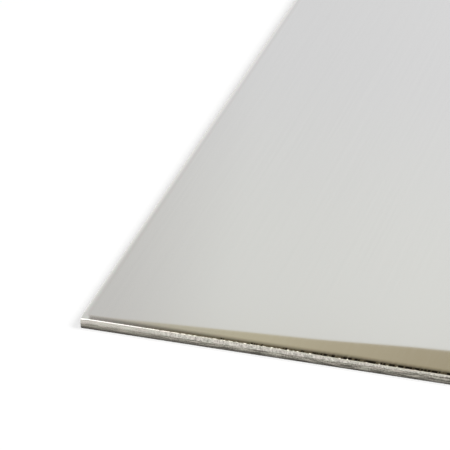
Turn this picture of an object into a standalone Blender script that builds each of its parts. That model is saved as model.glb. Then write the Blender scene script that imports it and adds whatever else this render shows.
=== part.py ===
"""A plain stainless steel sheet, cut to size on a shear and lying flat with its rounded arris up."""

import math

import bmesh
import bpy

# The blank, in metres: X across its width, Y along its length, Z through its thickness.
SHEET_WIDTH = 0.200
SHEET_LENGTH = 0.300
SHEET_THICKNESS = 0.0015

# The section that the shear leaves on all four edges, from the top face down.
DIE_ROLL_WIDTH = 0.00085
DIE_ROLL_DEPTH = 0.00024
DIE_ROLL_STEPS = 8
BURNISHED_LAND_HEIGHT = 0.00050
BREAK_LEAN = 0.00006
BURR_ROOT_HEIGHT = 0.00014
BURR_ROOT_INSET = 0.00009

# The bare metal, as a satin cold rolled finish.
STEEL_COLOUR = (0.70, 0.69, 0.66, 1.0)
STEEL_ROUGHNESS = 0.18
SMOOTH_WITHIN = math.radians(25)

NODE_NAME = "steel_sheet"
COLLECTION_NAME = "stainless_steel_sheet"


def clear_scene():
    """Removes whatever the scene holds, such as the startup cube."""
    for obj in list(bpy.data.objects):
        bpy.data.objects.remove(obj, do_unlink=True)


def steel_material():
    """The sheet's own metal."""
    material = bpy.data.materials.new("stainless_steel")
    material.use_nodes = True
    shader = material.node_tree.nodes["Principled BSDF"]
    shader.inputs["Base Color"].default_value = STEEL_COLOUR
    shader.inputs["Metallic"].default_value = 1.0
    shader.inputs["Roughness"].default_value = STEEL_ROUGHNESS
    return material


def die_roll_section():
    """The quarter ellipse that the blade drew the top face down into, from its foot to the flat."""
    foot = SHEET_THICKNESS - DIE_ROLL_DEPTH
    section = []
    for step in range(DIE_ROLL_STEPS + 1):
        turn = math.pi / 2 * step / DIE_ROLL_STEPS
        inset = DIE_ROLL_WIDTH * (1 - math.cos(turn))
        section.append((inset, foot + DIE_ROLL_DEPTH * math.sin(turn)))
    return section


def edge_section():
    """The cut edge as (inset from the blank's outline, height) pairs, from the underside up.

    The burr's root draws in at the underside, the broken face leans out over it, the
    burnished land is upright and stands furthest out, and the die roll turns into the top face.
    """
    land_foot = SHEET_THICKNESS - DIE_ROLL_DEPTH - BURNISHED_LAND_HEIGHT
    underside = (BREAK_LEAN + BURR_ROOT_INSET, 0.0)
    burr_root = (BREAK_LEAN, BURR_ROOT_HEIGHT)
    return [underside, burr_root, (0.0, land_foot), *die_roll_section()]


def pull_in(vertices, inset):
    """Moves a level of the sheet's four corners in from the blank's outline, and so its four edges."""
    for vertex in vertices:
        vertex.co.x -= math.copysign(inset, vertex.co.x)
        vertex.co.y -= math.copysign(inset, vertex.co.y)


def sheared_blank():
    """The sheet's mesh: a box of the blank's size, cut at each level of the section and drawn in there."""
    blank = bmesh.new()
    bmesh.ops.create_cube(blank, size=1.0)
    bmesh.ops.scale(blank, vec=(SHEET_WIDTH, SHEET_LENGTH, SHEET_THICKNESS), verts=blank.verts)
    bmesh.ops.translate(blank, vec=(0.0, 0.0, SHEET_THICKNESS / 2), verts=blank.verts)

    section = edge_section()
    levels = [[vertex for vertex in blank.verts if vertex.co.z < SHEET_THICKNESS / 2]]
    top_corners = [vertex for vertex in blank.verts if vertex.co.z > SHEET_THICKNESS / 2]
    for _, height in section[1:-1]:
        cut = bmesh.ops.bisect_plane(
            blank,
            geom=blank.verts[:] + blank.edges[:] + blank.faces[:],
            plane_co=(0.0, 0.0, height),
            plane_no=(0.0, 0.0, 1.0),
        )
        levels.append([item for item in cut["geom_cut"] if isinstance(item, bmesh.types.BMVert)])
    levels.append(top_corners)
    for (inset, _), corners in zip(section, levels, strict=True):
        pull_in(corners, inset)

    mesh = bpy.data.meshes.new(NODE_NAME)
    blank.to_mesh(mesh)
    blank.free()
    mesh.shade_smooth()
    mesh.set_sharp_from_angle(angle=SMOOTH_WITHIN)
    return mesh


def main():
    """Builds the sheet with its underside on the ground and its middle over the origin."""
    clear_scene()
    collection = bpy.data.collections.new(COLLECTION_NAME)
    bpy.context.scene.collection.children.link(collection)
    sheet = bpy.data.objects.new(NODE_NAME, sheared_blank())
    sheet.data.materials.append(steel_material())
    collection.objects.link(sheet)


main()
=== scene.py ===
"""Dresses a plain stainless steel sheet, cut on a shear, for its picture in a white studio.

The sheet is one piece of stock. Its two faces carry the rolled mill finish. Each of its four cut
edges shows, from the top down, the die roll, the burnished land, the broken face and the burr's
root. Along the front edge the shear has also drawn a narrow margin of the top face down.
"""

from __future__ import annotations

import logging
import math
from collections.abc import Iterator, Mapping, Sequence
from dataclasses import dataclass, field, replace
from enum import Enum

import bmesh
import bpy
import numpy as np
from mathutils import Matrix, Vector, noise


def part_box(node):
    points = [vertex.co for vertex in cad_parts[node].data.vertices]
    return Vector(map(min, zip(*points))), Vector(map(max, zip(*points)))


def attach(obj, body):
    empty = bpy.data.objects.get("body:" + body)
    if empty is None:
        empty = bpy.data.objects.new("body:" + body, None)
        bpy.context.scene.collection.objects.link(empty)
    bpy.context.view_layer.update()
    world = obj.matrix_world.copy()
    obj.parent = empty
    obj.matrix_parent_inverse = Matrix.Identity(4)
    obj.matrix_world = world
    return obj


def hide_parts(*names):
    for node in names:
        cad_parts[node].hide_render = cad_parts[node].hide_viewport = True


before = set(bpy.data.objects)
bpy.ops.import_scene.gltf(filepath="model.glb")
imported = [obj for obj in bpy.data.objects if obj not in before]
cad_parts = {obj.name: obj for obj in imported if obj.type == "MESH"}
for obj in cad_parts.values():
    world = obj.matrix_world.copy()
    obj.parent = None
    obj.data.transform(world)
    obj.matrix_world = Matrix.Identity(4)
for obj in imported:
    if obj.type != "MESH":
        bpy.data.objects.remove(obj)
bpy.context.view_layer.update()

log = logging.getLogger("steel_sheet")

MM = 0.001
HALF_TURN = 180.0

# A Mix node's two colour inputs and its colour result, which stand behind those for other kinds of value
MIX_FIRST, MIX_SECOND, MIX_RESULT = 6, 7, 2

Colour = tuple[float, float, float, float]
Stops = Sequence[tuple[float, Colour]]
Span = tuple[float, float]
Socket = bpy.types.NodeSocket


class Band(Enum):
    """The bands that the sheet's surface falls into, from its flat faces round the cut edge."""

    ROLLED_FACE = "rolled_face"
    DIE_ROLL = "die_roll"
    LIP = "lip"
    BURNISHED_LAND = "burnished_land"
    BROKEN_FACE = "broken_face"
    BURR_ROOT = "burr_root"


class Side(Enum):
    """The sheet's four cut edges."""

    FRONT = "front"
    LEFT = "left"
    RIGHT = "right"
    BACK = "back"


class Chart(Enum):
    """The skin's maps, in millimetres: along the outline first, and across from the flat second.

    Streaks are squeezed along and ticks across. Bands go across from 0 to 1 within each band.
    """

    RUN = "edge_run"
    STREAKS = "edge_streaks"
    TICKS = "edge_ticks"
    BANDS = "edge_bands"


class Zone(Enum):
    """The parts of the skin that layers of relief are pressed into, each a vertex group."""

    LOWERED = "lowered"
    RAISED = "raised"
    LIP = "lip"
    LAND = "land"
    BREAK_LINE = "break_line"
    RAISED_BREAK = "raised_break"
    BROKEN = "broken"
    SQUARE_CORNER = "square_corner"


class Push(Enum):
    """The ways that relief pushes the skin."""

    UP = "Z"
    ALONG_FRONT = "X"
    OUT = "NORMAL"


def grey(level: float) -> Colour:
    """Gives a neutral colour of this level."""
    return (level, level, level, 1.0)


def scaled(colour: Sequence[float], factor: float) -> Colour:
    """Gives a colour made lighter or darker by a factor."""
    red, green, blue = (part * factor for part in colour[:3])
    return (red, green, blue, 1.0)


def smooth_step(value: float, start: float, end: float) -> float:
    """Eases from 0 at start to 1 at end.

    Args:
        value: where to read the ease.
        start: the place where it leaves 0.
        end: the place where it reaches 1.

    Returns:
        The eased share, from 0 to 1.
    """
    share = min(1.0, max(0.0, (value - start) / (end - start)))
    return share * share * (3.0 - 2.0 * share)


def peak(value: float, middle: float, reach: float) -> float:
    """Gives 1 at the middle, and less with the distance from it, down to 0 at the reach."""
    return max(0.0, 1.0 - abs(value - middle) / reach)


class NodeBench:
    """Adds nodes to one tree and wires them, each node in one call."""

    def __init__(self, tree: bpy.types.NodeTree) -> None:
        """Takes the tree and clears it."""
        self.tree = tree
        self.tree.nodes.clear()

    def feed(self, node: bpy.types.Node, sockets: Mapping[str | int, object]) -> None:
        """Sets or links a node's inputs.

        Args:
            node: the node.
            sockets: for each input, a value or the output socket that feeds it.
        """
        for key, value in sockets.items():
            if isinstance(value, Socket):
                self.tree.links.new(value, node.inputs[key])
            else:
                node.inputs[key].default_value = value

    def add(
        self, kind: str, sockets: Mapping[str | int, object] | None = None, **settings: object
    ) -> bpy.types.Node:
        """Adds a node.

        Args:
            kind: the node's type name.
            sockets: for each input, a value or the output socket that feeds it.
            **settings: the node's own settings.

        Returns:
            The new node.
        """
        node = self.tree.nodes.new(kind)
        for name, value in settings.items():
            setattr(node, name, value)
        self.feed(node, sockets or {})
        return node

    def math(self, operation: str, *terms: object) -> Socket:
        """Adds a Math node, fed with its terms in order."""
        return self.add("ShaderNodeMath", dict(enumerate(terms)), operation=operation).outputs[0]

    def product(self, first: object, second: object) -> Socket:
        """Multiplies two values."""
        return self.math("MULTIPLY", first, second)

    def weighted(self, first: object, second: object, share: float) -> Socket:
        """Adds two values, the first by its share and the second by the rest."""
        return self.math("ADD", self.product(first, share), self.product(second, 1 - share))

    def axis(self, vector: object, number: int) -> Socket:
        """Gives one axis of a vector, of which the first is 0."""
        return self.add("ShaderNodeSeparateXYZ", {0: vector}).outputs[number]

    def map_range(self, value: object, start: float, end: float, low: float, high: float) -> Socket:
        """Maps a value from start..end to low..high, smoothly and without going past either."""
        sockets = {"Value": value, "From Min": start, "From Max": end, "To Min": low, "To Max": high}
        return self.add("ShaderNodeMapRange", sockets, interpolation_type="SMOOTHSTEP").outputs["Result"]

    def rise(self, value: object, span: Span) -> Socket:
        """Rises smoothly from 0 to 1 while the value goes through the span."""
        return self.map_range(value, *span, 0.0, 1.0)

    def fall(self, value: object, span: Span) -> Socket:
        """Falls smoothly from 1 to 0 while the value goes through the span."""
        return self.map_range(value, *span, 1.0, 0.0)

    def ramp(self, factor: object, stops: Stops) -> Socket:
        """Adds a colour ramp.

        Args:
            factor: the value or socket that is looked up.
            stops: the ramp's places, from 0 to 1, with their colours.

        Returns:
            The colour's socket.
        """
        node = self.add("ShaderNodeValToRGB", {0: factor})
        elements = node.color_ramp.elements
        while len(elements) < len(stops):
            elements.new(position=0.5)
        for element, (place, colour) in zip(elements, stops, strict=True):
            element.position = place
            element.color = colour
        return node.outputs["Color"]

    def mix(self, share: object, first: object, second: object, blend: str = "MIX") -> Socket:
        """Mixes two colours, the second by its share."""
        sockets = {0: share, MIX_FIRST: first, MIX_SECOND: second}
        return self.add("ShaderNodeMix", sockets, data_type="RGBA", blend_type=blend).outputs[MIX_RESULT]

    def noise(self, place: object, scale: float, detail: float = 2.0, roughness: float = 0.5) -> Socket:
        """Adds a noise pattern of about 0.5, with so many grains in each unit of the coordinates."""
        sockets = {"Vector": place, "Scale": scale, "Detail": detail, "Roughness": roughness}
        return self.add("ShaderNodeTexNoise", sockets).outputs[0]

    def grains(self, place: object, size: Sequence[float], **settings: float) -> Socket:
        """Adds a noise pattern whose grains are stretched.

        Args:
            place: the socket of the coordinates it is read at.
            size: a grain's size along each axis, of which a flat map has two.
            **settings: the noise pattern's detail and roughness.

        Returns:
            The pattern's value socket, about 0.5 on the whole.
        """
        scale = Vector([1 / part for part in size]).to_3d()
        stretched = self.add("ShaderNodeMapping", {"Vector": place, "Scale": scale}).outputs["Vector"]
        return self.noise(stretched, 1.0, **settings)

    def bump(self, height: object, depth: float, **sockets: object) -> Socket:
        """Adds the relief of a pattern, on the relief below it where its Normal is given."""
        sockets |= {"Height": height, "Strength": 1.0, "Distance": depth}
        return self.add("ShaderNodeBump", sockets).outputs[0]


@dataclass(frozen=True)
class MetalFinish:
    """A bare metal finish. The subclasses add the pattern that belongs to each band."""

    name: str
    colour: Colour
    roughness: float

    def material(self) -> bpy.types.Material:
        """Builds the finish.

        Returns:
            The material.
        """
        material = bpy.data.materials.new(self.name)
        material.use_nodes = True
        bench = NodeBench(material.node_tree)
        sockets = {"Metallic": 1.0, "Base Color": self.colour, "Roughness": self.roughness}
        metal = bench.add("ShaderNodeBsdfPrincipled", sockets)
        self.pattern(bench, metal)
        bench.add("ShaderNodeOutputMaterial", {"Surface": metal.outputs[0]})
        return material

    def pattern(self, bench: NodeBench, metal: bpy.types.Node) -> None:
        """Adds nothing: a plain finish has no pattern."""


@dataclass(frozen=True)
class RolledFinish(MetalFinish):
    """The bright cold rolled face: near mirror, with a faint grain and faint lines along the rolling."""

    line_spacing: float = 0.35 * MM
    line_length: float = 30 * MM
    line_range: Span = (0.3, 0.7)
    grain_size: float = 0.25 * MM
    grain_depth: float = 0.00004 * MM
    tint_spread: float = 0.02
    roughness_spread: float = 0.1

    def pattern(self, bench: NodeBench, metal: bpy.types.Node) -> None:
        """Adds the rolling lines to the colour and roughness, and the grain to the relief.

        Args:
            bench: the material's nodes.
            metal: its Principled node.
        """
        place = bench.add("ShaderNodeTexCoord").outputs["Object"]
        line_size = (self.line_spacing, self.line_length, self.line_spacing)
        lines = bench.grains(place, line_size, detail=3.0, roughness=0.6)
        low, high = self.line_range
        tint = bench.ramp(lines, [(low, scaled(self.colour, 1 - self.tint_spread)), (high, self.colour)])
        smoothest = self.roughness * (1 - self.roughness_spread)
        roughest = self.roughness * (1 + self.roughness_spread)
        rough = bench.map_range(lines, low, high, smoothest, roughest)
        grain = bench.bump(bench.noise(place, 1 / self.grain_size), self.grain_depth)
        bench.feed(metal, {"Base Color": tint, "Roughness": rough, "Normal": grain})


@dataclass(frozen=True)
class PaintedShadeDashes:
    """Painted shade: dark dashes along one border of a band, where the torn lip's nicks lie in shade, rare
    at first and denser further on.

    Lengths along the edge are in millimetres, and places across the band go from 0 to 1.
    """

    fades_from: float
    fades_to: float
    begins: float = 14.0
    covers: float = 36.0
    rare: float = 0.61
    dense: float = 0.47
    length: float = 0.9
    tick: float = 0.2
    length_share: float = 0.55
    softness: float = 0.01
    # the painted shade's colour
    colour: Colour = (0.07, 0.063, 0.045, 1.0)

    def darken(self, bench: NodeBench, run: Socket, down: Socket, tint: Socket) -> Socket:
        """Paints the dashes of shade into a band's colour.

        Args:
            bench: the material's nodes.
            run: the socket of the map along the edge.
            down: the socket of the place across the band.
            tint: the socket of the band's colour.

        Returns:
            The socket of the colour with the dashes in it.
        """
        long_grain = bench.grains(run, (self.length, math.inf), detail=0.0)
        short_grain = bench.grains(run, (self.tick, math.inf), detail=0.0)
        both = bench.weighted(long_grain, short_grain, self.length_share)
        along = bench.axis(run, 0)
        bar = bench.map_range(along, self.begins, self.covers, self.rare, self.dense)
        dash = bench.rise(bench.math("SUBTRACT", both, bar), (-self.softness, self.softness))
        started = bench.math("GREATER_THAN", along, self.begins)
        here = bench.product(started, bench.rise(down, (self.fades_from, self.fades_to)))
        return bench.mix(bench.product(dash, here), tint, self.colour)


@dataclass(frozen=True)
class ShearedFinish(MetalFinish):
    """A band of the cut edge, marked by the blade: streaks along or across it, dark pits and relief.

    Sizes are in millimetres, apart from the depths of the relief. The dark marks and the light metal
    between them each have their own factor on the roughness. The shades across the band are painted
    light: painted shade on some bands, a warm painted reflection tint on others.
    """

    dark_colour: Colour = (0.2, 0.2, 0.19, 1.0)
    # painted light across the band, given per band: shade on some, a warm reflection tint on others
    shades: Stops = ((0.0, grey(1.0)), (1.0, grey(1.0)))
    painted_light_with_wear: bool = False
    mark_length: float = 2.0
    mark_height: float = 0.12
    mark_share: float = 0.65
    dark_from: float = 0.6
    dark_to: float = 0.4
    mark_depth: float = 0.01 * MM
    speck_size: float = 0.15
    speck_depth: float = 0.004 * MM
    rough_range: Span = (0.4, 0.6)
    dark_roughness: float = 1.3
    light_roughness: float = 0.8
    clean_to: float = 5.0
    worn_from: float = 13.0
    clean_wear: float = 0.0
    streak_length: float = 1.6
    streak_height: float = 0.07
    streak_spread: float = 0.16
    streak_range: Span = (0.35, 0.65)
    mottle_length: float = 1.3
    mottle_height: float = 0.3
    mottle: Stops = ((0.35, (1.02, 0.98, 0.99, 1.0)), (0.65, (0.98, 1.01, 0.985, 1.0)))
    dashes: PaintedShadeDashes | None = None

    def pattern(self, bench: NodeBench, metal: bpy.types.Node) -> None:
        """Adds the blade's marks, on the maps that run along the edge, with the painted light of the shades
        and dashes.

        Args:
            bench: the material's nodes.
            metal: its Principled node.
        """
        run = bench.add("ShaderNodeUVMap", uv_map=Chart.RUN.value).outputs[0]
        band = bench.add("ShaderNodeUVMap", uv_map=Chart.BANDS.value).outputs[0]
        down = bench.axis(band, 1)
        wear = bench.map_range(bench.axis(run, 0), self.clean_to, self.worn_from, self.clean_wear, 1.0)
        marks = bench.grains(run, (self.mark_length, self.mark_height), detail=3.0)
        specks = bench.noise(run, 1 / self.speck_size, roughness=0.6)
        both = bench.weighted(marks, specks, self.mark_share)

        worn = bench.ramp(both, [(self.dark_to, self.dark_colour), (self.dark_from, self.colour)])
        tint = bench.mix(wear, self.streaks(bench, run), worn)
        # paints the shades' light across the band, only on the worn stretch where the finish asks for it
        painted_light_share = wear if self.painted_light_with_wear else 1.0
        tint = bench.mix(painted_light_share, tint, bench.ramp(down, self.shades), blend="MULTIPLY")
        mottle = bench.ramp(bench.grains(run, (self.mottle_length, self.mottle_height)), self.mottle)
        tint = bench.mix(1.0, tint, mottle, blend="MULTIPLY")
        # painted shade: the dark dashes
        if self.dashes:
            tint = self.dashes.darken(bench, run, down, tint)

        roughest = self.roughness * self.dark_roughness
        smoothest = self.roughness * self.light_roughness
        rough = bench.map_range(both, *self.rough_range, roughest, smoothest)
        relief = bench.bump(specks, self.speck_depth, Normal=bench.bump(marks, self.mark_depth))
        bench.feed(metal, {"Base Color": tint, "Roughness": rough, "Normal": relief})

    def streaks(self, bench: NodeBench, run: Socket) -> Socket:
        """Adds the fine lengthwise streaks of the clean end of the cut, about the band's middle colour.

        Args:
            bench: the material's nodes.
            run: the socket of the map along the edge.

        Returns:
            The socket of the streaks' colour.
        """
        lines = bench.grains(run, (self.streak_length, self.streak_height), detail=3.0, roughness=0.6)
        middle = [(light + dark) / 2 for light, dark in zip(self.colour, self.dark_colour)]
        low, high = self.streak_range
        darker = scaled(middle, 1 - self.streak_spread)
        lighter = scaled(middle, 1 + self.streak_spread)
        return bench.ramp(lines, [(low, darker), (high, lighter)])


FINISHES: dict[Band, MetalFinish] = {
    Band.ROLLED_FACE: RolledFinish("rolled_face", (0.645, 0.648, 0.622, 1.0), roughness=0.075),
    Band.DIE_ROLL: ShearedFinish(
        "die_roll", (0.645, 0.645, 0.62, 1.0), roughness=0.07,
        dark_colour=(0.615, 0.615, 0.59, 1.0),
        # painted reflection: a warm tint towards the roll's foot on the worn stretch; the dashes are
        # painted shade
        shades=((0.0, grey(1.0)), (0.6, grey(1.0)), (1.0, (1.0, 0.91, 0.73, 1.0))),
        mark_length=0.5, mark_height=0.25, mark_depth=0.0012 * MM, speck_depth=0.0008 * MM,
        painted_light_with_wear=True, streak_spread=0.0, dashes=PaintedShadeDashes(fades_from=0.64, fades_to=0.78),
    ),
    Band.LIP: ShearedFinish(
        "lip", (0.70, 0.69, 0.655, 1.0), roughness=0.08,
        dark_colour=(0.60, 0.59, 0.555, 1.0),
        # painted reflection: a warm tint over the lip on the worn stretch; the dashes are painted shade
        shades=((0.0, (1.0, 0.96, 0.86, 1.0)), (1.0, (1.0, 0.97, 0.89, 1.0))),
        mark_length=0.4, mark_height=0.5, mark_depth=0.002 * MM, speck_depth=0.001 * MM,
        painted_light_with_wear=True, streak_spread=0.05, dashes=PaintedShadeDashes(fades_from=0.54, fades_to=0.30),
    ),
    Band.BURNISHED_LAND: ShearedFinish(
        "burnished_land", (0.74, 0.716, 0.648, 1.0), roughness=0.24,
        dark_colour=(0.38, 0.366, 0.33, 1.0),
        # painted shade: a little darker at the land's very top, and darker towards its foot where it would
        # mirror the floor's contact shadow
        shades=((0.0, grey(0.93)), (0.35, grey(1.0)), (1.0, grey(0.82))),
        mark_length=0.25, mark_height=0.6, mark_depth=0.008 * MM, speck_size=0.24,
        streak_spread=0.24, streak_height=0.09,
    ),
    Band.BROKEN_FACE: ShearedFinish(
        "broken_face", (0.64, 0.61, 0.53, 1.0), roughness=0.38,
        dark_colour=(0.175, 0.165, 0.14, 1.0), dark_to=0.43, dark_from=0.58,
        # painted shade: darker towards the foot, where the broken face would mirror the floor's contact
        # shadow under the edge
        shades=(
            (0.0, grey(0.74)), (0.25, grey(0.76)), (0.5, grey(0.65)),
            (0.75, grey(0.41)), (1.0, grey(0.23)),
        ),
        mark_length=2.0, mark_height=0.12, mark_depth=0.02 * MM, speck_depth=0.012 * MM,
        clean_wear=0.35, streak_spread=0.3,
    ),
    Band.BURR_ROOT: ShearedFinish(
        # painted shade: the burr root's very dark colour stands for the shade under the edge's foot
        "burr_root", (0.11, 0.10, 0.085, 1.0), roughness=0.5,
        dark_colour=(0.05, 0.045, 0.037, 1.0),
        mark_length=1.2, mark_height=0.1, mark_depth=0.02 * MM, speck_depth=0.012 * MM,
    ),
}


@dataclass(frozen=True)
class Station:
    """One ring of the skin: how far in from the outline and how high, and the band that ends at it."""

    inset: float
    height: float
    band: Band


@dataclass(frozen=True)
class TopShape:
    """The die roll and the round lip at its foot, at one place along a cut edge."""

    width: float
    depth: float
    slope: float
    lip_radius: float
    spread: float = 0.0

    @property
    def lip_width(self) -> float:
        """How far the round lip reaches in."""
        return self.lip_radius * (1 - math.sin(self.slope))

    def drop(self, inset: float) -> float:
        """Gives how far the surface lies below the flat.

        Args:
            inset: how far in from the outline to read it.

        Returns:
            The drop, which steepens from nothing to the roll's slope at the lip, and to upright outside.
        """
        if inset < self.lip_width:
            reach = self.lip_radius - max(0.0, inset)
            return self.depth - math.sqrt(self.lip_radius**2 - reach**2)
        own_width = self.width - self.lip_width
        own_depth = self.depth - self.lip_radius * math.cos(self.slope)
        if own_depth <= 0.0:
            return 0.0
        power = math.tan(self.slope) * own_width / own_depth
        share = (self.width + self.spread - inset) / (own_width + self.spread)
        return own_depth * min(1.0, max(0.0, share)) ** power

    def blend(self, other: TopShape, share: float) -> TopShape:
        """Gives a shape between this one and another.

        Args:
            other: the other shape.
            share: how much of the other goes in.

        Returns:
            The shape in between.
        """
        return TopShape(
            self.width + (other.width - self.width) * share,
            self.depth + (other.depth - self.depth) * share,
            self.slope + (other.slope - self.slope) * share,
            self.lip_radius + (other.lip_radius - self.lip_radius) * share,
            self.spread + (other.spread - self.spread) * share,
        )


@dataclass(frozen=True)
class CutSection:
    """The section of a sheared edge, from the flat of the top face round to the underside."""

    thickness: float
    margin: float = 7.65 * MM
    margin_rows: int = 22
    margin_grading: float = 1.6
    die_roll_width: float = 0.85 * MM
    die_roll_depth: float = 0.24 * MM
    die_roll_slope: float = math.radians(24)
    die_roll_rows: int = 9
    lip_radius: float = 0.15 * MM
    lip_rows: int = 4
    burnished_height: float = 0.50 * MM
    burnished_rows: int = 6
    break_lean: float = 0.06 * MM
    break_rows: int = 8
    burr_root_height: float = 0.14 * MM
    burr_root_inset: float = 0.09 * MM
    burr_root_rows: int = 3

    @property
    def land_top(self) -> float:
        """The height at which the die roll meets the burnished land."""
        return self.thickness - self.die_roll_depth

    @property
    def land_foot(self) -> float:
        """The height at which the burnished land meets the broken face."""
        return self.land_top - self.burnished_height

    @property
    def top(self) -> TopShape:
        """The die roll and lip as the shear leaves them on most of the outline."""
        return TopShape(self.die_roll_width, self.die_roll_depth, self.die_roll_slope, self.lip_radius)

    @property
    def foot_inset(self) -> float:
        """How far in the cut edge meets the underside."""
        return self.break_lean + self.burr_root_inset

    def stations(self) -> Iterator[Station]:
        """Works out the rings of the skin.

        Returns:
            The rings in order, from the flat of the top face to the flat of the underside.
        """
        top = self.top
        for row in range(self.margin_rows + 1):
            share = (1 - row / self.margin_rows) ** self.margin_grading
            inset = self.die_roll_width + (self.margin - self.die_roll_width) * share
            yield Station(inset, self.thickness, Band.ROLLED_FACE)
        for row in range(1, self.die_roll_rows + 1):
            reach = (top.lip_width - self.die_roll_width) * row / self.die_roll_rows
            inset = self.die_roll_width + reach
            yield Station(inset, self.thickness - top.drop(inset), Band.DIE_ROLL)
        for row in range(1, self.lip_rows + 1):
            turn = self.die_roll_slope + (math.pi / 2 - self.die_roll_slope) * row / self.lip_rows
            inset = self.lip_radius * (1 - math.sin(turn))
            yield Station(inset, self.land_top + self.lip_radius * math.cos(turn), Band.LIP)
        for row in range(1, self.burnished_rows + 1):
            height = self.land_top - self.burnished_height * row / self.burnished_rows
            yield Station(0.0, height, Band.BURNISHED_LAND)
        for row in range(1, self.break_rows + 1):
            share = row / self.break_rows
            height = self.land_foot + (self.burr_root_height - self.land_foot) * share
            yield Station(self.break_lean * share, height, Band.BROKEN_FACE)
        for row in range(1, self.burr_root_rows + 1):
            share = row / self.burr_root_rows
            inset = self.break_lean + self.burr_root_inset * share
            yield Station(inset, self.burr_root_height * (1 - share), Band.BURR_ROOT)
        yield Station(self.margin, 0.0, Band.ROLLED_FACE)


@dataclass(frozen=True)
class MarginSag:
    """The margin along the front edge that the shear drew down, growing out of nothing near each corner.

    Towards the middle of the edge the die roll begins further in too.
    """

    start: float = -0.45 * MM
    growth: float = 0.089
    swell: float = 0.52 * MM
    swell_from: float = 25.5 * MM
    swell_to: float = 40 * MM
    widest: float = 5.6 * MM
    fold: float = 0.9 * MM
    slope: float = math.radians(1.2)
    roll_spread: float = 0.38 * MM
    spread_from: float = 3 * MM
    spread_to: float = 34 * MM

    def width(self, run: float, length: float) -> float:
        """Gives the margin's width.

        Args:
            run: how far along the edge, from its first corner.
            length: the edge's whole length.

        Returns:
            The width, measured from the die roll's inner line.
        """
        from_corner = min(run, length - run)
        extra = self.swell * smooth_step(from_corner, self.swell_from, self.swell_to)
        return min(self.widest, max(0.0, (from_corner - self.start) * self.growth + extra))

    def spread(self, run: float, length: float) -> float:
        """Gives how much further in the die roll begins, on top of its own width."""
        return self.roll_spread * smooth_step(min(run, length - run), self.spread_from, self.spread_to)

    def drop(self, run: float, length: float, depth: float) -> float:
        """Gives how far the top face has come down.

        Args:
            run: how far along the edge, from its first corner.
            length: the edge's whole length.
            depth: how far in from the die roll's inner line.

        Returns:
            The drop, which starts softly over the fold and then runs at the slope.
        """
        reach = self.width(run, length) - depth
        if reach <= 0.0:
            return 0.0
        if reach < self.fold:
            share = reach / self.fold
            return math.tan(self.slope) * self.fold * (share**3 - share**4 / 2)
        return math.tan(self.slope) * (reach - self.fold / 2)


@dataclass(frozen=True)
class TornLip:
    """The stretch of the front edge where the blade tore the lip off, which grows into one dark line.

    The torn lip is rounder and lies lower. Along the drawn margin the lip comes up again by a share of
    the margin's drop, its lift.
    """

    begins: float = 25 * MM
    covers: float = 31 * MM
    extra_radius: float = 0.065 * MM
    extra_depth: float = 0.07 * MM
    lift: float = 0.6
    jag: float = 0.35 * MM
    jag_depth: float = 0.01 * MM

    def share(self, run: float) -> float:
        """Gives how far the lip is torn, from 0 to 1."""
        return smooth_step(run, self.begins, self.covers)

    def depth(self, run: float) -> float:
        """Gives how much lower the torn lip lies, with the straying of its lower edge."""
        return self.extra_depth + self.jag_depth * noise.noise(Vector((run / self.jag, 0.0, 0.0)))


@dataclass(frozen=True)
class Relief:
    """One layer of relief, pressed into the skin with a Displace modifier.

    The grain is in the chart's millimetres, or in metres where the relief has no chart.
    """

    name: str
    push: Push
    zone: Zone | None = None
    chart: Chart | None = None
    depth: float = field(kw_only=True)
    grain: float = 0.0
    layers: int = 2
    middle: float = 0.5
    hard: bool = False

    def press(self, piece: bpy.types.Object) -> None:
        """Presses the relief into a piece and applies it.

        Args:
            piece: the active mesh object.
        """
        modifier = piece.modifiers.new(self.name, "DISPLACE")
        if self.grain:
            texture = bpy.data.textures.new(self.name, "CLOUDS")
            texture.noise_scale = self.grain
            texture.noise_depth = self.layers
            texture.noise_type = "HARD_NOISE" if self.hard else "SOFT_NOISE"
            modifier.texture = texture
        if self.chart:
            modifier.texture_coords = "UV"
            modifier.uv_layer = self.chart.value
        if self.zone:
            modifier.vertex_group = self.zone.value
        modifier.direction = self.push.value
        modifier.mid_level = self.middle
        modifier.strength = self.depth
        bpy.ops.object.modifier_apply(modifier=modifier.name)


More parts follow.
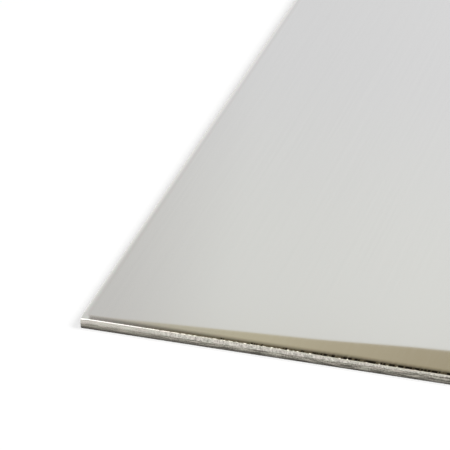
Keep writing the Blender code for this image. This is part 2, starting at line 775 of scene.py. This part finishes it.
@dataclass
class SteelSheet:
    """The sheet itself, as one closed skin that is fine where its cut edges are seen closely.

    Wear and squeezes are shares. How far a zone reaches across the cut edge, and the gap that the broken
    zone keeps to the foot, are in millimetres, as the charts are. The last four fields are worked out
    from the sheet's thickness.
    """

    low: Vector
    high: Vector
    panel_step: float = 10 * MM
    fine_front: float = 62 * MM
    fine_left: float = 100 * MM
    front_step: float = 0.12 * MM
    left_step: float = 0.4 * MM
    far_front_step: float = 0.6 * MM
    far_step: float = 1.0 * MM
    worn_from: float = 4 * MM
    worn_to: float = 27 * MM
    side_wear: float = 0.75
    least_wear: float = 0.12
    ease: float = 0.6
    corner_from: float = 0.25 * MM
    corner_to: float = 0.95 * MM
    shift_limit: float = 0.5 * MM
    match_within: float = 0.01 * MM
    weld_within: float = 0.005 * MM
    hair: float = 0.001 * MM
    break_rise: float = 0.30 * MM
    rise_from: float = 20 * MM
    rise_to: float = 46 * MM
    lip_reach: float = 0.22
    break_reach: float = 0.3
    rise_reach: float = 0.45
    foot_gap: float = 0.02
    streak_squeeze: float = 0.12
    tick_squeeze: float = 0.25
    square_within: float = 2 * MM
    smooth_within: float = math.radians(50)
    sag: MarginSag = field(default_factory=MarginSag)
    torn: TornLip = field(default_factory=TornLip)
    corner: TopShape = TopShape(
        width=0.85 * MM, depth=0.325 * MM, slope=math.radians(11), lip_radius=0.20 * MM
    )
    section: CutSection = field(init=False)
    stations: list[Station] = field(init=False)
    across: list[float] = field(init=False)
    spans: dict[Band, Span] = field(init=False)

    def __post_init__(self) -> None:
        """Works out the section, its rings, and where each ring and band lies across from the flat."""
        self.section = CutSection(thickness=self.high.z - self.low.z)
        self.stations = list(self.section.stations())
        self.across = [0.0]
        for last, station in zip(self.stations, self.stations[1:]):
            step = math.hypot(station.inset - last.inset, station.height - last.height)
            self.across.append(self.across[-1] + step / MM)
        self.spans = {}
        for last, here, station in zip(self.across[:-1], self.across[1:-1], self.stations[1:-1]):
            start, _ = self.spans.get(station.band, (last, here))
            self.spans[station.band] = (start, here)

    @property
    def width(self) -> float:
        """The sheet's size along X."""
        return self.high.x - self.low.x

    @property
    def length(self) -> float:
        """The sheet's size along Y."""
        return self.high.y - self.low.y

    def build(self) -> bpy.types.Object:
        """Models the sheet and dresses it.

        Returns:
            The finished piece.
        """
        piece = self.lay_panel()
        bpy.ops.object.mode_set(mode="EDIT")
        bpy.ops.mesh.select_mode(type="EDGE")
        self.cut_panel()
        self.divide_rim(piece)
        self.draw_rings(piece)
        self.close_underside()
        bpy.ops.object.mode_set(mode="OBJECT")
        self.dress(piece)
        self.map_edges(piece)
        self.weigh_zones(piece)
        for relief in self.reliefs():
            relief.press(piece)
        bpy.ops.object.shade_smooth_by_angle(angle=self.smooth_within)
        return piece

    def lay_panel(self) -> bpy.types.Object:
        """Lays the flat middle of the top face, inside the margins.

        Returns:
            The panel's object, at the origin.
        """
        inset = self.section.margin
        bpy.ops.object.select_all(action="DESELECT")
        bpy.ops.mesh.primitive_plane_add(size=1.0, location=(0.0, 0.0, self.high.z))
        piece = bpy.context.object
        piece.name = "sheared_sheet"
        piece.scale = (self.width - 2 * inset, self.length - 2 * inset, 1.0)
        bpy.ops.object.transform_apply(location=True, rotation=False, scale=True)
        return piece

    def cut_panel(self) -> None:
        """Cuts the panel into a grid of even cells."""
        inset = self.section.margin
        for axis, size in ((Vector((1, 0, 0)), self.width), (Vector((0, 1, 0)), self.length)):
            cells = round((size - 2 * inset) / self.panel_step)
            for cell in range(1, cells):
                place = (size / 2 - inset) * (2 * cell / cells - 1)
                bpy.ops.mesh.select_all(action="SELECT")
                bpy.ops.mesh.bisect(plane_co=axis * place, plane_no=axis)

    def rim_step(self, place: Vector) -> float:
        """Gives the spacing that the skin needs at a place on the rim.

        Args:
            place: the middle of one of the rim's edges.

        Returns:
            The spacing.
        """
        inset = self.section.margin
        from_left = place.x - (self.low.x + inset)
        from_front = place.y - (self.low.y + inset)
        if from_front < MM:
            return self.front_step if from_left < self.fine_front else self.far_front_step
        if from_left < MM:
            return self.left_step if from_front < self.fine_left else self.far_step
        return self.far_step

    def divide_rim(self, piece: bpy.types.Object) -> None:
        """Divides the panel's rim to the spacing that each stretch of the cut edge needs.

        Args:
            piece: the panel, in edit mode.
        """
        mesh = bmesh.from_edit_mesh(piece.data)
        places: dict[int, list[Vector]] = {}
        for edge in mesh.edges:
            if edge.is_boundary:
                middle = self.middle(edge)
                cuts = round(edge.calc_length() / self.rim_step(middle)) - 1
                places.setdefault(cuts, []).append(middle)
        for cuts, middles in sorted(places.items()):
            self.pick_edges(piece, middles)
            bpy.ops.mesh.subdivide(number_cuts=cuts, quadcorner="STRAIGHT_CUT", ngon=True)

    def pick_edges(self, piece: bpy.types.Object, middles: Sequence[Vector]) -> None:
        """Selects the edges whose middles lie at these places, and nothing else.

        Args:
            piece: the mesh object, in edit mode.
            middles: the places.
        """
        bpy.ops.mesh.select_all(action="DESELECT")
        mesh = bmesh.from_edit_mesh(piece.data)
        wanted = {self.key(middle) for middle in middles}
        for edge in mesh.edges:
            if self.key(self.middle(edge)) in wanted:
                edge.select_set(True)
        bmesh.update_edit_mesh(piece.data)

    @staticmethod
    def middle(edge: bmesh.types.BMEdge) -> Vector:
        """Gives the middle of an edge."""
        return (edge.verts[0].co + edge.verts[1].co) / 2

    def key(self, place: Vector) -> tuple[int, ...]:
        """Rounds a place, so that two copies of it match."""
        return tuple(round(part / self.match_within) for part in place)

    def draw_rings(self, piece: bpy.types.Object) -> None:
        """Extrudes the rim outwards and round the cut edge, one station after another.

        Args:
            piece: the panel, in edit mode.
        """
        mesh = bmesh.from_edit_mesh(piece.data)
        mesh.verts.layers.float.new("across")
        bmesh.update_edit_mesh(piece.data)
        bpy.ops.mesh.select_all(action="SELECT")
        bpy.ops.mesh.region_to_loop()
        for last, station, across in zip(self.stations, self.stations[1:], self.across[1:]):
            rise = station.height - last.height
            bpy.ops.mesh.extrude_edges_move(TRANSFORM_OT_translate={"value": (0.0, 0.0, rise)})
            grow_x = (self.width - 2 * station.inset) / (self.width - 2 * last.inset)
            grow_y = (self.length - 2 * station.inset) / (self.length - 2 * last.inset)
            bpy.ops.transform.resize(value=(grow_x, grow_y, 1.0), center_override=(0.0, 0.0, 0.0))
            mesh = bmesh.from_edit_mesh(piece.data)
            layer = mesh.verts.layers.float["across"]
            for vertex in mesh.verts:
                if vertex.select:
                    vertex[layer] = across
        bmesh.update_edit_mesh(piece.data)

    def close_underside(self) -> None:
        """Closes the underside with a copy of the top face's panel."""
        bpy.ops.mesh.select_mode(type="FACE")
        bpy.ops.mesh.select_all(action="DESELECT")
        mesh = bmesh.from_edit_mesh(bpy.context.object.data)
        layer = mesh.verts.layers.float["across"]
        for face in mesh.faces:
            face.select_set(all(vertex[layer] == 0.0 for vertex in face.verts))
        bmesh.update_edit_mesh(bpy.context.object.data)
        drop = self.low.z - self.high.z
        bpy.ops.mesh.duplicate_move(TRANSFORM_OT_translate={"value": (0.0, 0.0, drop)})
        bpy.ops.mesh.flip_normals()
        bpy.ops.mesh.select_all(action="SELECT")
        bpy.ops.mesh.remove_doubles(threshold=self.weld_within)

    def insets(self, place: Vector) -> dict[Side, float]:
        """Gives how far in from each side of the outline a place lies.

        Args:
            place: the place.

        Returns:
            The distances. Where two sides are equally near, the one that comes first counts.
        """
        return {
            Side.FRONT: place.y - self.low.y,
            Side.LEFT: place.x - self.low.x,
            Side.RIGHT: self.high.x - place.x,
            Side.BACK: self.high.y - place.y,
        }

    def outline_run(self, side: Side, place: Vector) -> float:
        """Gives how far along the outline a place lies, in millimetres from the front left corner.

        The front edge, the right edge and the back edge follow each other, and the left edge counts
        below 0.

        Args:
            side: the side that the place belongs to.
            place: the place.

        Returns:
            The distance along the outline.
        """
        runs = {
            Side.FRONT: place.x - self.low.x,
            Side.LEFT: self.low.y - place.y,
            Side.RIGHT: self.width + place.y - self.low.y,
            Side.BACK: self.width + self.length + self.high.x - place.x,
        }
        return runs[side] / MM

    def map_edges(self, piece: bpy.types.Object) -> None:
        """Unrolls the skin onto its charts.

        Args:
            piece: the sheet.
        """
        mesh = piece.data
        across = self.read_across(piece)
        bands = list(Band)
        runs, heights, shares = np.zeros((3, len(mesh.loops)), dtype=np.float32)
        for polygon in mesh.polygons:
            insets = self.insets(polygon.center)
            side = min(insets, key=insets.get)
            start, end = self.spans[bands[polygon.material_index]]
            for loop_index in polygon.loop_indices:
                vertex_index = mesh.loops[loop_index].vertex_index
                runs[loop_index] = self.outline_run(side, mesh.vertices[vertex_index].co)
                heights[loop_index] = across[vertex_index]
                shares[loop_index] = (across[vertex_index] - start) / (end - start)
        charts = {
            Chart.RUN: (runs, heights),
            Chart.STREAKS: (runs * self.streak_squeeze, heights),
            Chart.TICKS: (runs, heights * self.tick_squeeze),
            Chart.BANDS: (runs, shares),
        }
        for chart, columns in charts.items():
            mesh.uv_layers.new(name=chart.value).data.foreach_set("uv", np.column_stack(columns).ravel())

    def read_across(self, piece: bpy.types.Object) -> np.ndarray:
        """Reads how far across from the flat each vertex lies, in millimetres.

        Args:
            piece: the sheet.

        Returns:
            One value for each vertex.
        """
        across = np.empty(len(piece.data.vertices), dtype=np.float32)
        piece.data.attributes["across"].data.foreach_get("value", across)
        return across

    def front_drop(self, run: float, inset: float) -> float:
        """Gives how far the front edge's surface lies below the flat.

        Args:
            run: how far along the edge, from its first corner.
            inset: how far in from the outline.

        Returns:
            The drop, with the drawn margin, the wider die roll, the torn lip and the blunt corners.
        """
        plain = self.section.top
        torn = self.torn.share(run)
        lift = self.torn.lift * self.sag.drop(run, self.width, 0.0)
        shape = replace(
            plain,
            depth=plain.depth - lift + self.torn.depth(run) * torn,
            lip_radius=plain.lip_radius + self.torn.extra_radius * torn,
            spread=self.sag.spread(run, self.width),
        )
        corner = 1.0 - smooth_step(min(run, self.width - run), self.corner_from, self.corner_to)
        roll = shape.blend(self.corner, corner)
        return roll.drop(inset) + self.sag.drop(run, self.width, inset - plain.width)

    def left_drop(self, run: float, inset: float) -> float:
        """Gives how far the left edge's surface lies below the flat.

        Args:
            run: how far along the edge, from the front corner.
            inset: how far in from the outline.

        Returns:
            The drop of the eased die roll, and of the blunt corner.
        """
        plain = self.section.top
        corner = 1.0 - smooth_step(run, self.corner_from, self.corner_to)
        return (1.0 - self.ease) * plain.drop(inset) * (1.0 - corner) + self.corner.drop(inset) * corner

    def weigh_zones(self, piece: bpy.types.Object) -> None:
        """Weighs the vertices for each layer of relief.

        Args:
            piece: the sheet.
        """
        groups = {zone: piece.vertex_groups.new(name=zone.value) for zone in Zone}
        places = self.read_across(piece)
        for vertex in piece.data.vertices:
            across = float(places[vertex.index])
            if 0.0 < across < self.across[-1]:
                for zone, weight in self.weights(vertex.co, across).items():
                    if weight > 0.0:
                        groups[zone].add([vertex.index], weight, "REPLACE")

    def weights(self, place: Vector, across: float) -> dict[Zone, float]:
        """Gives how strongly each zone holds a place on the margin or the cut edge.

        Args:
            place: the place, before any relief.
            across: how far across from the flat it lies, in millimetres.

        Returns:
            The zones' weights. Only those above 0 count.
        """
        insets = self.insets(place)
        side = min(insets, key=insets.get)
        run = insets[Side.LEFT]
        wear = smooth_step(run, self.worn_from, self.worn_to) if side is Side.FRONT else self.side_wear
        wear = self.least_wear + (1 - self.least_wear) * wear
        land_start, land_end = self.spans[Band.BURNISHED_LAND]
        weights = self.shifts(place, side, insets[side])
        weights[Zone.LIP] = wear * peak(across, land_start, self.lip_reach)
        weights[Zone.BREAK_LINE] = peak(across, land_end, self.break_reach)
        if land_start <= across <= land_end:
            weights[Zone.LAND] = wear
        if land_end <= across < self.across[-2] - self.foot_gap:
            weights[Zone.BROKEN] = 1.0
        if side is Side.FRONT:
            rise = smooth_step(run, self.rise_from, self.rise_to)
            weights[Zone.RAISED_BREAK] = rise * peak(across, land_end, self.rise_reach)
        if place.z < self.section.land_foot:
            near_corner = peak(math.hypot(insets[Side.FRONT], run), 0.0, self.square_within)
            drawn_in = min(1.0, insets[side] / self.section.foot_inset)
            weights[Zone.SQUARE_CORNER] = drawn_in * near_corner
        return weights

    def shifts(self, place: Vector, side: Side, inset: float) -> dict[Zone, float]:
        """Gives how far the skin has to come down or up, as shares of the limit.

        Args:
            place: the place, before any relief.
            side: the side that it belongs to.
            inset: how far in from that side it lies.

        Returns:
            The weights of the two zones.
        """
        section = self.section
        inside = min(inset, section.margin) if place.z >= section.land_top - self.hair else 0.0
        plain = section.top.drop(inside)
        drop = plain
        if side is Side.FRONT:
            drop = self.front_drop(place.x - self.low.x, inside)
        elif side is Side.LEFT:
            drop = self.left_drop(place.y - self.low.y, inside)
        above_underside = min(1.0, place.z / section.land_top)
        above_foot = min(1.0, max(0.0, place.z - section.land_foot) / section.burnished_height)
        return {
            Zone.LOWERED: max(0.0, drop - plain) / self.shift_limit * above_underside,
            Zone.RAISED: max(0.0, plain - drop) / self.shift_limit * above_foot,
        }

    def reliefs(self) -> list[Relief]:
        """Lists the layers of relief.

        Returns:
            The layers, in the order that they are pressed in.
        """
        return [
            Relief("flatness", Push.UP, depth=0.03 * MM, grain=0.07),
            Relief("drawn_margin", Push.UP, Zone.LOWERED, depth=-self.shift_limit, middle=0.0),
            Relief("eased_roll", Push.UP, Zone.RAISED, depth=self.shift_limit, middle=0.0),
            Relief("wandering_lip", Push.UP, Zone.LIP, Chart.RUN, depth=0.10 * MM, grain=0.9),
            Relief("nicked_lip", Push.OUT, Zone.LIP, Chart.RUN, depth=0.03 * MM, grain=0.35, hard=True),
            Relief("land_ticks", Push.OUT, Zone.LAND, Chart.TICKS, depth=0.012 * MM, grain=0.35),
            Relief("raised_break", Push.UP, Zone.RAISED_BREAK, depth=self.break_rise, middle=0.0),
            Relief(
                "square_corner", Push.ALONG_FRONT, Zone.SQUARE_CORNER,
                depth=-self.section.foot_inset, middle=0.0,
            ),
            Relief("break_line", Push.UP, Zone.BREAK_LINE, Chart.STREAKS, depth=0.10 * MM, grain=0.5),
            Relief(
                "break_streaks", Push.OUT, Zone.BROKEN, Chart.STREAKS,
                depth=0.05 * MM, grain=0.4, hard=True,
            ),
        ]

    def dress(self, piece: bpy.types.Object) -> None:
        """Gives each band its finish.

        Args:
            piece: the sheet.
        """
        bands = list(Band)
        for band in bands:
            piece.data.materials.append(FINISHES[band].material())
        across = self.read_across(piece)
        for polygon in piece.data.polygons:
            places = across[list(polygon.vertices)]
            band = Band.ROLLED_FACE
            if places.max() < self.across[-1]:
                band = self.band_at(float(np.mean(places)))
            polygon.material_index = bands.index(band)

    def band_at(self, across: float) -> Band:
        """Gives the band at a place across the cut edge.

        Args:
            across: how far across from the flat the place lies, in millimetres.

        Returns:
            The band, which is the rolled face on the flat itself.
        """
        for band, (start, end) in self.spans.items():
            if start < across <= end:
                return band
        return Band.ROLLED_FACE


@dataclass(frozen=True)
class Sweep:
    """What one tall slice of the studio shows, from the far horizon over the top to the near one.

    Its side is 0 straight ahead and grows to 1 at the left. It is white up to the opening, which has
    one tint and darkens with the angle, and white again from the near wall on.
    """

    side: float
    tint: tuple[float, float, float]
    levels: Sequence[Span]
    near_wall: Span = (150.0, 166.0)
    near_level: float = 0.8
    far_wall: Stops = (
        (0.0, (0.97, 0.965, 1.0, 1.0)), (26.0, (0.975, 0.97, 1.01, 1.0)),
        (29.5, grey(1.0)), (32.5, grey(1.0)),
    )

    def colour(self, bench: NodeBench, turned: Socket) -> Socket:
        """Adds the slice to a world.

        Args:
            bench: the world's nodes.
            turned: the socket of the ray's angle, in degrees from the far horizon.

        Returns:
            The socket of the slice's colour there.
        """
        opening = [(degrees, scaled(self.tint, level)) for degrees, level in self.levels]
        _, darkest = opening[-1]
        near_from, near_to = self.near_wall
        near_wall = ((near_from, darkest), (near_to, grey(self.near_level)))
        shades = (*self.far_wall, *opening, *near_wall)
        stops = [(degrees / HALF_TURN, shade) for degrees, shade in shades]
        return bench.ramp(bench.math("DIVIDE", turned, HALF_TURN), stops)


@dataclass(frozen=True)
class Panorama:
    """What the metal sees of the studio: white all round, with a tall dark opening left of the middle."""

    sweeps: Sequence[Sweep] = (
        Sweep(side=0.165, tint=(1.0, 0.86, 0.59), levels=(
            (33.0, 0.53), (34.8, 0.51), (36.3, 0.425), (40.0, 0.33), (44.0, 0.24), (49.0, 0.165),
            (53.0, 0.14),
        )),
        Sweep(side=0.200, tint=(1.0, 0.875, 0.62), levels=(
            (33.0, 0.61), (34.8, 0.59), (36.5, 0.50), (40.5, 0.40), (45.0, 0.285), (50.0, 0.175),
            (54.0, 0.13),
        )),
        Sweep(side=0.2325, tint=(1.0, 0.90, 0.65), levels=(
            (33.0, 0.71), (34.6, 0.67), (36.8, 0.57), (41.6, 0.45), (49.5, 0.33), (58.0, 0.18),
        ), near_wall=(116.0, 140.0), near_level=0.68),
        Sweep(side=0.262, tint=(1.0, 0.93, 0.74), levels=(
            (33.0, 0.78), (34.5, 0.68), (35.9, 0.60), (38.8, 0.51), (48.5, 0.35), (58.0, 0.24),
        ), near_wall=(116.0, 140.0), near_level=0.68),
        Sweep(side=0.285, tint=(1.0, 0.955, 0.89), levels=(
            (32.6, 0.915), (34.1, 0.80), (37.1, 0.68), (42.0, 0.57), (55.0, 0.43), (74.0, 0.38),
        )),
        Sweep(side=0.295, tint=(1.0, 0.98, 0.96), levels=(
            (32.6, 0.97), (34.1, 0.92), (37.1, 0.87), (42.0, 0.83), (55.0, 0.78), (74.0, 0.78),
        )),
    )
    evenness: Stops = (
        (0.125, grey(1.0)), (0.173, grey(1.05)), (0.217, grey(1.01)), (0.2457, grey(1.0)),
        (0.2603, (0.938, 0.934, 0.936, 1.0)), (0.275, (0.87, 0.86, 0.865, 1.0)),
        (0.289, (0.81, 0.795, 0.80, 1.0)), (0.305, (0.815, 0.805, 0.81, 1.0)),
        (0.34, grey(0.88)), (0.42, grey(0.93)), (0.80, grey(1.0)),
    )
    white_right: Span = (0.06, 0.10)
    white_left: Span = (0.30, 0.36)
    far_left_from: Span = (0.25, 0.30)
    far_left_rise: Span = (23.0, 30.5)
    far_left_level: float = 1.12
    window_rise: Span = (110.0, 122.0)
    window_side: Span = (0.24, 0.285)
    window_end: Span = (0.40, 0.55)
    window_level: float = 2.8

    def colour(self, bench: NodeBench) -> Socket:
        """Adds the panorama to a world.

        Args:
            bench: the world's nodes.

        Returns:
            The socket of the colour that a ray sees in its direction.
        """
        ray = bench.add("ShaderNodeTexCoord").outputs["Generated"]
        x, y, z = bench.add("ShaderNodeSeparateXYZ", {0: ray}).outputs
        left = bench.product(x, -1.0)
        turned = bench.product(bench.math("ARCTAN2", z, y), math.degrees(1))

        opening = self.sweeps[0].colour(bench, turned)
        for last, sweep in zip(self.sweeps, self.sweeps[1:]):
            share = bench.rise(left, (last.side, sweep.side))
            opening = bench.mix(share, opening, sweep.colour(bench, turned))
        opening = bench.mix(bench.rise(left, self.white_right), grey(1.0), opening)
        walls = bench.mix(bench.rise(left, self.white_left), opening, grey(1.0))

        window = bench.product(bench.rise(turned, self.window_rise), bench.rise(left, self.window_side))
        window = bench.product(window, bench.fall(left, self.window_end))
        walls = bench.mix(window, walls, grey(self.window_level))

        far = bench.fall(turned, self.far_left_rise)
        far_left = bench.product(bench.rise(left, self.far_left_from), far)
        evenness = bench.mix(far_left, bench.ramp(left, self.evenness), grey(self.far_left_level))
        return bench.mix(1.0, walls, evenness, blend="MULTIPLY")


@dataclass(frozen=True)
class Viewpoint:
    """The camera, placed from the sheet's near corner."""

    azimuth: float = math.radians(16.565)
    elevation: float = math.radians(28.531)
    distance: float = 330 * MM
    focal_length: float = 220.2
    beside_corner: float = 9.462 * MM
    behind_corner: float = 25.53 * MM
    near_clip: float = 10 * MM

    def place(self, corner: Vector) -> bpy.types.Object:
        """Places the camera.

        Args:
            corner: the sheet's near corner, on its top face.

        Returns:
            The camera.
        """
        back = Vector((
            math.sin(self.azimuth) * math.cos(self.elevation),
            -math.cos(self.azimuth) * math.cos(self.elevation),
            math.sin(self.elevation),
        ))
        data = bpy.data.cameras.new("camera")
        data.lens = self.focal_length
        data.clip_start = self.near_clip
        camera = bpy.data.objects.new("camera", data)
        bpy.context.scene.collection.objects.link(camera)
        aim = corner + Vector((self.beside_corner, self.behind_corner, 0.0))
        camera.location = aim + back * self.distance
        camera.rotation_euler = back.to_track_quat("Z", "Y").to_euler()
        bpy.context.scene.camera = camera
        return camera


@dataclass(frozen=True)
class Lamp:
    """One wide soft lamp, aimed at the sheet. The metal mirrors the surroundings without it."""

    name: str
    power: float
    width: float
    depth: float
    place: tuple[float, float, float]

    def hang(self) -> None:
        """Hangs the lamp in its place."""
        data = bpy.data.lights.new(self.name, "AREA")
        data.energy = self.power
        data.shape = "RECTANGLE"
        data.size = self.width
        data.size_y = self.depth
        lamp = bpy.data.objects.new(self.name, data)
        bpy.context.scene.collection.objects.link(lamp)
        lamp.visible_glossy = False
        lamp.location = self.place
        lamp.rotation_euler = Vector(self.place).to_track_quat("Z", "Y").to_euler()


@dataclass(frozen=True)
class Studio:
    """The white floor, the soft surroundings and the lamps."""

    floor_size: float = 6.0
    floor_gap: float = 0.02 * MM
    floor_white: float = 0.58
    floor_glow: Span = (0.44, 1.0)
    glow_reach: Span = (0.25, 0.9)
    dome_level: float = 0.10
    front_lamp: Lamp = Lamp("front_lamp", power=21.8, width=2.0, depth=0.8, place=(-0.15, -1.2, 1.0))
    side_lamp: Lamp = Lamp("side_lamp", power=19.0, width=1.0, depth=0.8, place=(1.15, 0.0, 1.2))
    panorama: Panorama = field(default_factory=Panorama)

    def build(self) -> None:
        """Sets the studio up round the sheet."""
        self.lay_floor()
        self.front_lamp.hang()
        self.side_lamp.hang()
        self.surround()
        bpy.context.scene.view_settings.view_transform = "Standard"

    def lay_floor(self) -> None:
        """Lays the floor, which shows white to the camera and the metal and keeps the sheet's shadow."""
        bpy.ops.object.select_all(action="DESELECT")
        bpy.ops.mesh.primitive_plane_add(size=self.floor_size, location=(0.0, 0.0, -self.floor_gap))
        floor = bpy.context.object
        floor.name = "floor"
        bpy.ops.object.transform_apply(location=True, rotation=False, scale=False)
        material = bpy.data.materials.new("white_floor")
        material.use_nodes = True
        bench = NodeBench(material.node_tree)
        seen = self.seen(bench)
        paint = bench.add("ShaderNodeBsdfDiffuse", {"Color": grey(self.floor_white)})
        place = bench.add("ShaderNodeTexCoord").outputs["Object"]
        away = bench.add("ShaderNodeVectorMath", {0: place}, operation="LENGTH").outputs["Value"]
        strength = bench.map_range(away, *self.glow_reach, *self.floor_glow)
        glow = bench.add("ShaderNodeEmission", {"Strength": bench.product(seen, strength)})
        both = bench.add("ShaderNodeAddShader", {0: paint.outputs[0], 1: glow.outputs[0]})
        bench.add("ShaderNodeOutputMaterial", {"Surface": both.outputs[0]})
        floor.data.materials.append(material)

    @staticmethod
    def seen(bench: NodeBench) -> Socket:
        """Gives a socket that is 1 where a ray comes from the camera, or off or through a surface.

        Args:
            bench: the nodes of a material or a world.

        Returns:
            The socket.
        """
        path = bench.add("ShaderNodeLightPath").outputs
        mirrored = bench.math("MAXIMUM", path["Is Glossy Ray"], path["Is Transmission Ray"])
        return bench.math("MAXIMUM", path["Is Camera Ray"], mirrored)

    def surround(self) -> None:
        """Surrounds the sheet: white to the camera, the panorama to the metal, an even dome to the rest."""
        world = bpy.data.worlds.new("studio")
        world.use_nodes = True
        bpy.context.scene.world = world
        bench = NodeBench(world.node_tree)
        path = bench.add("ShaderNodeLightPath").outputs
        light = bench.mix(path["Is Glossy Ray"], grey(self.dome_level), self.panorama.colour(bench))
        light = bench.mix(path["Is Camera Ray"], light, grey(1.0))
        background = bench.add("ShaderNodeBackground", {"Color": light})
        bench.add("ShaderNodeOutputWorld", {"Surface": background.outputs[0]})


def main() -> None:
    """Builds the sheet, the studio and the camera, in that order."""
    logging.basicConfig(level=logging.INFO, format="%(name)s: %(message)s")
    low, high = (Vector(corner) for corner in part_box("steel_sheet"))
    sheet = SteelSheet(low, high)
    piece = sheet.build()
    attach(piece, "root")
    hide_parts("steel_sheet")
    log.info("%s: %d faces", piece.name, len(piece.data.polygons))

    Studio().build()
    log.info("studio: floor, lamps and surroundings")
    camera = Viewpoint().place(Vector((low.x, low.y, high.z)))
    log.info("%s: placed", camera.name)


if __name__ == "__main__":
    main()
